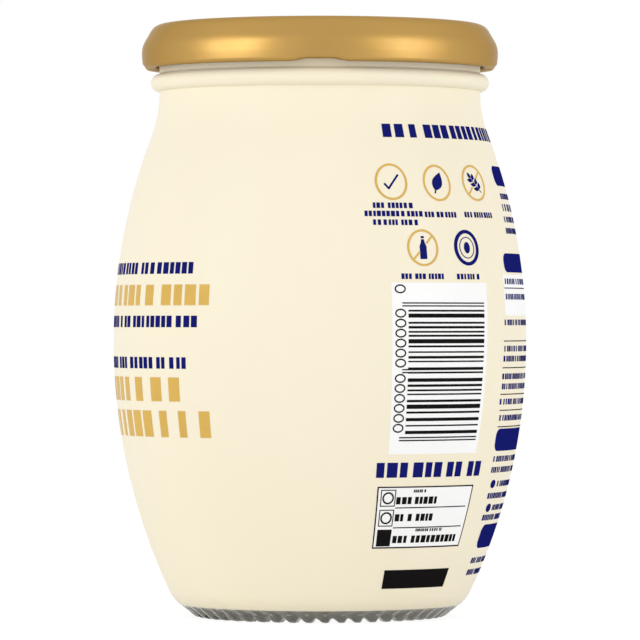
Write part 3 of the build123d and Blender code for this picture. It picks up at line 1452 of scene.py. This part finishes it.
    def stack(
        self, ink: Inks, sides: Point, heights: Point, count: int, bars: Point, gaps: Point
    ) -> None:
        """Prints level bars of uneven thickness, one above another.

        Args:
            ink: Their ink.
            sides: Left and right edge, in degrees.
            heights: Lower and upper edge, in millimetres.
            count: Number of bars.
            bars: The least and the greatest thickness, before the row is fitted.
            gaps: The least and the greatest space between bars, likewise.
        """
        (left, right), (bottom, top) = sides, heights
        turn = self.degrees_per_mm((top + bottom) / 2)
        width = (right - left) / turn
        mesh = self.blocks(
            ink,
            Block_count=count,
            Row_length=top - bottom,
            Block_height=width,
            Shortest=bars[0],
            Longest=bars[1],
            Gap=gaps[0],
            Widest_gap=gaps[1],
            Skew=2.6,
            Gap_skew=1.6,
            Columns=2,
            Rows=int(ceil(width / self.piece_length)) + 1,
        )
        centre = (left + right) / 2
        self.lay(ink, mesh, [(centre + v.co.y * turn, top - v.co.x) for v in mesh.vertices])

    def ink_mesh(self, ink: Inks) -> bpy.types.Mesh:
        """Rolls an ink's flat shapes on to the sleeve and gives them their thickness.

        Args:
            ink: The ink.

        Returns:
            The mesh.
        """
        sheet, lift = self.sheets[ink], ink.value[1]
        count = len(sheet.corners)
        points = []
        for shift in (lift, lift - self.thickness):
            for turn, height in sheet.corners:
                radius, angle = self.glass.radius_at(height, shift) * MM, radians(turn)
                points.append((radius * sin(angle), -radius * cos(angle), height * MM))
        faces = list(sheet.faces)
        faces += [tuple(count + i for i in reversed(face)) for face in sheet.faces]
        edges: dict[tuple[int, int], int] = {}
        for face in sheet.faces:
            for a, b in zip(face, face[1:] + face[:1]):
                edges[(a, b)] = edges.get((a, b), 0) + 1
        for a, b in edges:
            if (b, a) not in edges:
                faces.append((b, a, count + a, count + b))
        return plain_mesh(ink.value[0], points, faces)


@dataclass
class SleevePrint(InkPress):
    """The print: rows of blocks for text, rings with plain pictures, and fields of colour."""

    centre: Point = (0.0, 0.0)
    stretch: float = 1.0

    # pictures in the rings, each drawn in millimetres round the current centre

    def sketch(self, path: list[Point], halves: list[float], across: int = 1) -> None:
        """Prints a navy stroke of the current picture.

        Args:
            path: Its middle line, in millimetres from the current centre.
            halves: Half its width at each point.
            across: Number of strips side by side.
        """
        self.ribbon(Inks.NAVY, self.centre, path, halves, self.stretch, across)

    def ring(self, crossed: bool) -> None:
        """Prints a gold ring round the current centre.

        Args:
            crossed: Whether a slash runs behind its picture.
        """
        self.oval(Inks.GOLD, self.centre, (2.95, 3.58), 0.45, self.stretch)
        if crossed:
            for side in (-1, 1):
                path = [(side * 2.0, side * 2.4), (side * 0.75, side * 0.9)]
                self.ribbon(Inks.GOLD, self.centre, path, [0.2, 0.2], self.stretch)

    def tick(self) -> None:
        """Prints a tick."""
        self.sketch([(-1.4, -0.35), (-0.6, -1.45)], [0.2, 0.2])
        self.sketch([(-0.7, -1.5), (1.45, 1.5)], [0.2, 0.2])

    def blade(self, foot: Point, tip: Point, half: float) -> None:
        """Prints a leaf or a grain: a pointed oval.

        Args:
            foot: Its lower point.
            tip: Its upper point.
            half: Half its greatest width.
        """
        run, rise = tip[0] - foot[0], tip[1] - foot[1]
        shares = [i / 8 for i in range(9)]
        path = [(foot[0] + run * share, foot[1] + rise * share) for share in shares]
        halves = [max(half * sin(pi * share**0.8), 0.01) for share in shares]
        self.sketch(path, halves, 2)

    def leaf(self) -> None:
        """Prints a broad leaf on a short stalk."""
        self.blade((-0.75, -1.6), (0.95, 2.2), 1.15)
        self.sketch([(-0.5, -1.2), (-0.85, -2.2)], [0.15, 0.15])

    def grain(self) -> None:
        """Prints an ear of grain."""
        self.sketch([(1.5, -2.0), (-0.7, 0.8)], [0.1, 0.1])
        for i in range(3):
            x, z = 1.0 - 0.68 * i, -1.35 + 0.9 * i
            self.blade((x - 0.05, z), (x - 1.45, z + 0.15), 0.42)
            self.blade((x + 0.15, z + 0.1), (x + 0.25, z + 1.5), 0.42)
        self.blade((-0.75, 0.95), (-1.4, 2.2), 0.38)

    def bottle(self) -> None:
        """Prints a plain bottle."""
        path = [(0, -2.35), (0, -2.2), (0, 0.3), (0, 1.1), (0, 1.75)]
        self.sketch(path, [0.6, 0.7, 0.7, 0.38, 0.28], 2)
        self.sketch([(0, 1.95), (0, 2.4)], [0.32, 0.32])

    def mark(self) -> None:
        """Prints a plain double ring with a dot."""
        self.oval(Inks.NAVY, self.centre, (2.55, 3.35), 0.75, self.stretch)
        self.oval(Inks.NAVY, self.centre, (1.65, 2.15), 0.2, self.stretch)
        self.disc(Inks.NAVY, self.centre, (0.9, 1.2))

    # parts of the print, in degrees round the jar and millimetres up

    def slogan(self) -> None:
        """Prints the navy and gold lines at the left, centred on the side that faces -X."""
        axis = -78.0
        for end, height, tall, ink in (
            (-37.5, 73.9, 2.4, Inks.NAVY),
            (-30.0, 68.3, 4.3, Inks.GOLD),
            (-34.7, 62.8, 2.4, Inks.NAVY),
            (-38.6, 54.2, 2.4, Inks.NAVY),
            (-41.0, 48.7, 5.0, Inks.GOLD),
            (-31.9, 41.5, 5.5, Inks.GOLD),
        ):
            self.word_row(Row(2 * axis - end, end, height, tall, ink))

    def notes(self) -> None:
        """Prints the headline, the five rings and their captions."""
        self.word_row(Row(21.0, 122.0, 102.3, 2.8))
        for centre, stretch, picture, crossed in (
            ((21.9, 91.6), 1.14, self.tick, False),
            ((38.0, 91.5), 1.15, self.leaf, False),
            ((54.8, 91.7), 1.3, self.grain, True),
            ((30.1, 78.0), 1.18, self.bottle, True),
            ((46.0, 78.1), 1.28, self.mark, False),
        ):
            self.centre, self.stretch = centre, stretch
            if picture != self.mark:
                self.ring(crossed)
            picture()
        for row in (
            Row(15.5, 28.0, 86.7, 1.15),
            Row(12.9, 31.0, 85.0, 1.15),
            Row(15.3, 29.1, 83.2, 1.15),
            Row(31.8, 43.6, 84.9, 1.15),
            Row(47.0, 61.8, 85.0, 1.15),
            Row(22.8, 37.2, 72.1, 1.15),
            Row(41.0, 50.1, 72.1, 1.15),
        ):
            self.word_row(row)

    def code_panel(self) -> None:
        """Prints the white panel with its bars and small ovals, narrower towards its foot."""
        left, right, low, high = 19.8, 53.0, 35.5, 70.8
        upright_at, taper = 18.0, 0.055
        before = {ink: len(self.sheets[ink].corners) for ink in (Inks.WHITE, Inks.BLACK)}
        self.colour_field(Inks.WHITE, left, right, low, high)
        self.stack(Inks.BLACK, (24.6, 51.6), (39.6, 65.2), 23, (0.3, 1.15), (0.36, 3.3 * 0.36))
        for height in (66.6, 66.0, 52.9, 52.3, 38.9, 38.3):
            self.line(Inks.BLACK, 22.8, 51.6, height, 0.27)
        for step in range(13):
            height = 64.5 - 2.05 * step - 1.1 * (step > 5) if step < 12 else 69.5
            self.oval(Inks.BLACK, (22.3, height), (1.1, 0.78), 0.3)
        for ink, first in before.items():
            sheet = self.sheets[ink]
            for i in range(first, len(sheet.corners)):
                turn, height = sheet.corners[i]
                drop = (high - height) / (high - low)
                sheet.corners[i] = (turn - (turn - upright_at) * taper * drop, height)

    def sorting_box(self) -> None:
        """Prints the quantity line, the outlined box with three lines, and the black field."""
        self.word_row(Row(16.4, 54.3, 32.2, 3.1))
        left, right, low, high = 17.1, 52.4, 15.9, 28.8
        self.colour_field(Inks.WHITE, left, right, low, high)
        self.frame((left, right), (low, high), 0.28)
        for height in (20.2, 24.35):
            self.line(Inks.BLACK, 23.4, 50.6, height, 0.22)
        for middle in (26.4, 22.25):
            self.frame((18.3, 23.1), (middle - 1.75, middle + 1.75), 0.2)
            self.oval(Inks.BLACK, (20.7, middle), (1.1, 1.1), 0.34)
        self.colour_field(Inks.BLACK, 18.3, 23.1, 16.35, 19.85)
        for row in (
            Row(28.9, 33.2, 27.8, 0.6, Inks.BLACK),
            Row(23.4, 38.0, 25.85, 1.5, Inks.BLACK),
            Row(23.6, 37.2, 22.3, 1.5, Inks.BLACK),
            Row(31.6, 42.2, 19.65, 0.6, Inks.BLACK),
            Row(23.8, 50.2, 17.75, 1.5, Inks.BLACK),
        ):
            self.word_row(row)
        self.colour_field(Inks.BLACK, 22.7, 51.0, 7.36, 11.3)

    def frame(self, sides: Point, heights: Point, width: float) -> None:
        """Prints the outline of a box in black.

        Args:
            sides: Left and right edge, in degrees.
            heights: Lower and upper edge, in millimetres.
            width: Thickness of the line, which lies inside the edges.
        """
        for height in (heights[0] + width / 2, heights[1] - width / 2):
            self.line(Inks.BLACK, sides[0], sides[1], height, width)
        half = width / 2 * self.degrees_per_mm(sum(heights) / 2)
        for turn in (sides[0] + half, sides[1] - half):
            self.upright(Inks.BLACK, turn, heights[0] + width, heights[1] - width, width)

    def facts_panel(self) -> None:
        """Prints the panel of small print, which runs round the right side."""
        right = 142.0
        for left, low, high in (
            (69.8, 91.4, 95.6),
            (64.0, 73.1, 77.1),
            (60.3, 35.65, 40.35),
            (64.6, 15.1, 20.1),
        ):
            self.colour_field(Inks.NAVY, left, right, low, high, corner=1.6)
        self.colour_field(Inks.WHITE, 62.4, right, 64.05, 72.6)
        for left, height in (
            (62.7, 69.8), (61.1, 58.7), (60.6, 53.1), (60.2, 47.55), (60.6, 44.2), (60.6, 40.75),
        ):
            self.line(Inks.BLACK, left, right, height, 0.2)
        for left, height, tall in (
            (71.6, 89.2, 1.2), (71.0, 86.8, 1.5), (70.2, 84.3, 1.2), (69.8, 81.9, 1.2),
            (63.4, 71.2, 1.2), (63.2, 68.0, 1.2), (61.7, 62.6, 1.2),
            (61.4, 57.1, 1.2), (61.0, 55.0, 1.2), (60.7, 51.3, 1.2), (60.8, 49.2, 1.2),
            (60.2, 46.0, 1.2), (60.9, 42.6, 1.2), (61.0, 34.0, 1.2), (61.0, 31.7, 1.2),
            (67.4, 28.7, 1.2), (62.3, 26.2, 1.2), (68.4, 23.65, 1.2), (62.6, 21.6, 1.2),
            (64.7, 12.5, 1.2), (64.9, 10.0, 1.2),
        ):
            self.word_row(Row(left, right - 2 - (height * 7) % 9, height, tall))
        for turn, height in ((64.2, 28.7), (65.2, 23.65)):
            self.disc(Inks.NAVY, (turn, height), (1.2, 0.9))

    def front_panel(self) -> None:
        """Prints a plain panel on the far side."""
        left, right = -212.0, -152.0
        self.colour_field(Inks.NAVY, left, right, 34.0, 88.0, corner=6.0)
        for height in (37.5, 84.5):
            self.line(Inks.GOLD, left + 6, right - 6, height, 0.5)
        self.word_row(Row(left + 8, right - 8, 30.0, 1.6))
        self.word_row(Row(left + 14, right - 14, 27.2, 1.1))

    def build(self) -> list[bpy.types.Object]:
        """Prints everything.

        Returns:
            One piece for each ink.
        """
        self.slogan()
        self.notes()
        self.code_panel()
        self.sorting_box()
        self.facts_panel()
        self.front_panel()
        pieces = []
        for ink in Inks:
            mesh = self.ink_mesh(ink)
            mesh.materials.append(INK_FINISHES[ink].material())
            piece = placed(mesh, ink.value[0])
            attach(piece, BODY)
            pieces.append(piece)
        return pieces


# ---------------------------------------------------------------------------
# Lid
# ---------------------------------------------------------------------------


@dataclass
class TwistLid:
    """The lacquered lid: sunk panel, raised ring, sloping shoulder, skirt, curl and four lugs."""

    glass: GlassJar
    height: float = 9.5
    sheet: float = 0.3
    seat_gap: float = 0.05
    curl_radius: float = 35.75
    curl_depth: float = 2.0
    curl_height: float = 1.6
    curl_round: float = 0.9
    skirt_overhang: float = 0.19
    skirt_waist: float = 2.4
    skirt_turn: float = 5.0
    shoulder_angle: float = 30.0
    shoulder_drop: float = 4.75
    shoulder_round: float = 3.0
    ring_width: float = 6.0
    panel_depth: float = 0.8
    step_width: float = 0.9
    step_round: float = 0.5
    button_radius: float = 9.0
    button_rise: float = 0.4
    lug_count: int = 4
    lug_length: float = 12.4
    lug_lift: float = 0.55
    lug_slope: float = 3.8
    lug_bite: float = 1.1
    lug_rise: Point = (0.4, 3.4)
    curl_top: Point = (1.8, 2.2)
    curl_side: Point = (-0.5, 0.8)
    segments: int = 480

    def section(self) -> Outline:
        """Draws the metal from the middle of its underside out, round the curl and back.

        Returns:
            The outline.
        """
        top = self.glass.waist + self.glass.finish_height + self.seat_gap + self.sheet
        bottom = top - self.height
        radius = self.curl_radius + self.curl_depth + self.skirt_overhang
        shoulder = radius - self.shoulder_drop * tan(radians(self.shoulder_angle))
        panel = top - self.panel_depth
        panel_radius = shoulder - self.ring_width - self.step_width
        outer = rounded(
            [
                (0, panel + self.button_rise),
                (self.button_radius, panel + self.button_rise),
                (self.button_radius + self.step_width, panel),
                (panel_radius, panel),
                (panel_radius + self.step_width, top),
                (shoulder, top),
                (radius, top - self.shoulder_drop),
                (radius, bottom + self.skirt_waist),
                (self.curl_radius + self.curl_depth, bottom),
                (self.curl_radius, bottom),
                (self.curl_radius, bottom + self.curl_height),
                (self.curl_radius + self.curl_depth * 0.6, bottom + self.curl_height),
            ],
            [self.step_round] * 4
            + [self.shoulder_round, self.skirt_turn, self.skirt_turn]
            + [self.curl_round] * 2
            + [0.5],
        )
        inner = moved_in(outer, self.sheet)
        return joined(inner, list(reversed(outer)))

    def lug_tree(self) -> ShapeTree:
        """Builds the tree that presses the curl up and inwards at each lug.

        Returns:
            The tree.
        """
        top = self.glass.waist + self.glass.finish_height + self.seat_gap + self.sheet
        shape = ShapeTree(
            "lug_press",
            {
                "Lug count": float(self.lug_count),
                "Half length": self.lug_length / 2 * MM,
                "Slope": self.lug_slope * MM,
                "Lift": self.lug_lift * MM,
                "Bite": self.lug_bite * MM,
                "Curl bottom": (top - self.height) * MM,
                "Curl middle": (self.curl_radius + self.curl_depth * 0.6) * MM,
            },
        )
        w = shape.wires
        position = w.node("GeometryNodeInputPosition").outputs[0]
        x, y, height, radius, turn = w.round_axis(position)
        count = shape.input("Lug count")
        along = w.off_middle(turn, count)
        arc_length = w.sum("DIVIDE", w.times(w.sum("ABSOLUTE", along), radius, 2 * pi), count)
        flat = w.add(shape.input("Half length"), w.times(shape.input("Slope"), -1.0))
        press = w.fall(arc_length, flat, shape.input("Half length"))
        above = w.add(height, w.times(shape.input("Curl bottom"), -1.0))
        low = w.fall(above, *metres(self.lug_rise))
        in_curl = w.fall(above, *metres(self.curl_top))
        inside = w.add(shape.input("Curl middle"), w.times(radius, -1.0))
        inner = w.ramp(inside, *metres(self.curl_side))
        lift = w.times(press, low, shape.input("Lift"))
        inwards = w.times(press, inner, in_curl, shape.input("Bite"), -1.0)
        shape.press(x, y, radius, inwards, lift)
        return shape

    def build(self) -> bpy.types.Object:
        """Makes the lid.

        Returns:
            The finished piece.
        """
        plain = turned("twist_lid", self.section(), self.segments)
        mesh = self.lug_tree().run("twist_lid", plain, LACQUER.material())
        piece = placed(mesh, "twist_lid")
        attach(piece, BODY)
        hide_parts("lid")
        return piece


# ---------------------------------------------------------------------------
# Studio
# ---------------------------------------------------------------------------


@dataclass
class Softbox:
    """A large soft lamp on a stand, aimed at the jar."""

    name: str
    around: float
    up: float
    distance: float
    width: float
    height: float
    power: float

    def build(self, target: Corner) -> bpy.types.Object:
        """Makes the lamp.

        Args:
            target: The point that it faces.

        Returns:
            The lamp.
        """
        lamp = bpy.data.lights.new(self.name, "AREA")
        lamp.shape = "RECTANGLE"
        lamp.size, lamp.size_y = self.width, self.height
        lamp.energy = self.power
        holder = bpy.data.objects.new(self.name, lamp)
        bpy.context.scene.collection.objects.link(holder)
        level = self.distance * cos(radians(self.up))
        holder.location = (
            target[0] + level * sin(radians(self.around)),
            target[1] - level * cos(radians(self.around)),
            target[2] + self.distance * sin(radians(self.up)),
        )
        holder.rotation_euler = (radians(90 - self.up), 0, radians(self.around))
        return holder


@dataclass
class Studio:
    """White surroundings, two tall softboxes, a pale floor and the camera."""

    eye_height: float = 0.0631
    eye_distance: float = 1.0665
    eye_side: float = 0.00002
    lens: float = 281.25
    ambient: float = 0.64
    target: Corner = (0.0, 0.0, 0.07)
    floor_size: float = 6.0
    floor_grey: float = 0.95
    floor_glow: float = 0.85
    floor_strength: float = 1.08

    def seen(self, wires: Wires) -> Socket:
        """Gives 1 on rays that show the background: camera, mirror and glass rays."""
        path = wires.node("ShaderNodeLightPath").outputs
        glossy = wires.sum("MAXIMUM", path["Is Camera Ray"], path["Is Glossy Ray"])
        return wires.sum("MAXIMUM", glossy, path["Is Transmission Ray"])

    def surroundings(self) -> None:
        """Makes the white world."""
        world = bpy.data.worlds.new("studio")
        bpy.context.scene.world = world
        world.use_nodes = True
        world.node_tree.nodes.clear()
        wires = Wires(world.node_tree)
        strength = wires.add(wires.times(self.seen(wires), 1.0 - self.ambient), self.ambient)
        light = wires.node("ShaderNodeBackground", {"Strength": strength})
        light.inputs["Color"].default_value = rgba((1.0, 1.0, 1.0))
        wires.node("ShaderNodeOutputWorld", {"Surface": light.outputs[0]})

    def floor(self) -> bpy.types.Object:
        """Makes the floor.

        Returns:
            The floor.
        """
        half = self.floor_size / 2
        points = [(-half, -half, 0), (half, -half, 0), (half, half, 0), (-half, half, 0)]
        mesh = plain_mesh("floor", points, [(0, 1, 2, 3)])
        made = bpy.data.materials.new("pale_floor")
        made.use_nodes = True
        made.node_tree.nodes.clear()
        wires = Wires(made.node_tree)
        matt = wires.node("ShaderNodeBsdfDiffuse")
        matt.inputs["Color"].default_value = rgba((self.floor_grey,) * 3)
        glow = wires.node("ShaderNodeEmission", {"Strength": self.floor_strength})
        mix = wires.node("ShaderNodeMixShader")
        wires.put(mix.inputs[0], wires.times(self.seen(wires), self.floor_glow))
        wires.put(mix.inputs[1], matt.outputs[0])
        wires.put(mix.inputs[2], glow.outputs[0])
        wires.node("ShaderNodeOutputMaterial", {"Surface": mix.outputs[0]})
        mesh.materials.append(made)
        piece = placed(mesh, "floor")
        return piece

    def camera(self) -> bpy.types.Object:
        """Makes the camera.

        Returns:
            The camera.
        """
        data = bpy.data.cameras.new("camera")
        data.sensor_width = 36.0
        data.lens = self.lens
        data.clip_start, data.clip_end = 0.05, 20.0
        eye = bpy.data.objects.new("camera", data)
        eye.location = (self.eye_side, -self.eye_distance, self.eye_height)
        eye.rotation_euler = (radians(90), 0, 0)
        bpy.context.scene.collection.objects.link(eye)
        bpy.context.scene.camera = eye
        return eye

    def build(self) -> None:
        """Sets the studio up."""
        bpy.context.scene.view_settings.view_transform = "Standard"
        self.surroundings()
        self.floor()
        for box in (
            Softbox("left_softbox", -56.0, 4.0, 0.9, 0.6, 1.0, 4.7),
            Softbox("right_softbox", 58.0, 4.0, 0.9, 0.45, 1.0, 4.0),
        ):
            box.build(self.target)
        self.camera()


def corners(box: tuple) -> list[list[float]]:
    """Gives a box's two corners as plain lists."""
    return [list(corner) for corner in box]


def main() -> None:
    """Builds the jar piece by piece, then the studio."""
    logging.basicConfig(level=logging.INFO, format="%(message)s")
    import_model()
    glass = GlassJar()
    LOG.info("glass: %d faces", len(glass.build().data.polygons))
    LOG.info("filling: %d faces", len(Filling(glass).build().data.polygons))
    LOG.info("sleeve: %d faces", len(ShrinkSleeve(glass).build().data.polygons))
    for piece in SleevePrint(glass).build():
        LOG.info("%s: %d faces", piece.name, len(piece.data.polygons))
    LOG.info("lid: %d faces", len(TwistLid(glass).build().data.polygons))
    Studio().build()


if __name__ == "__main__":
    main()
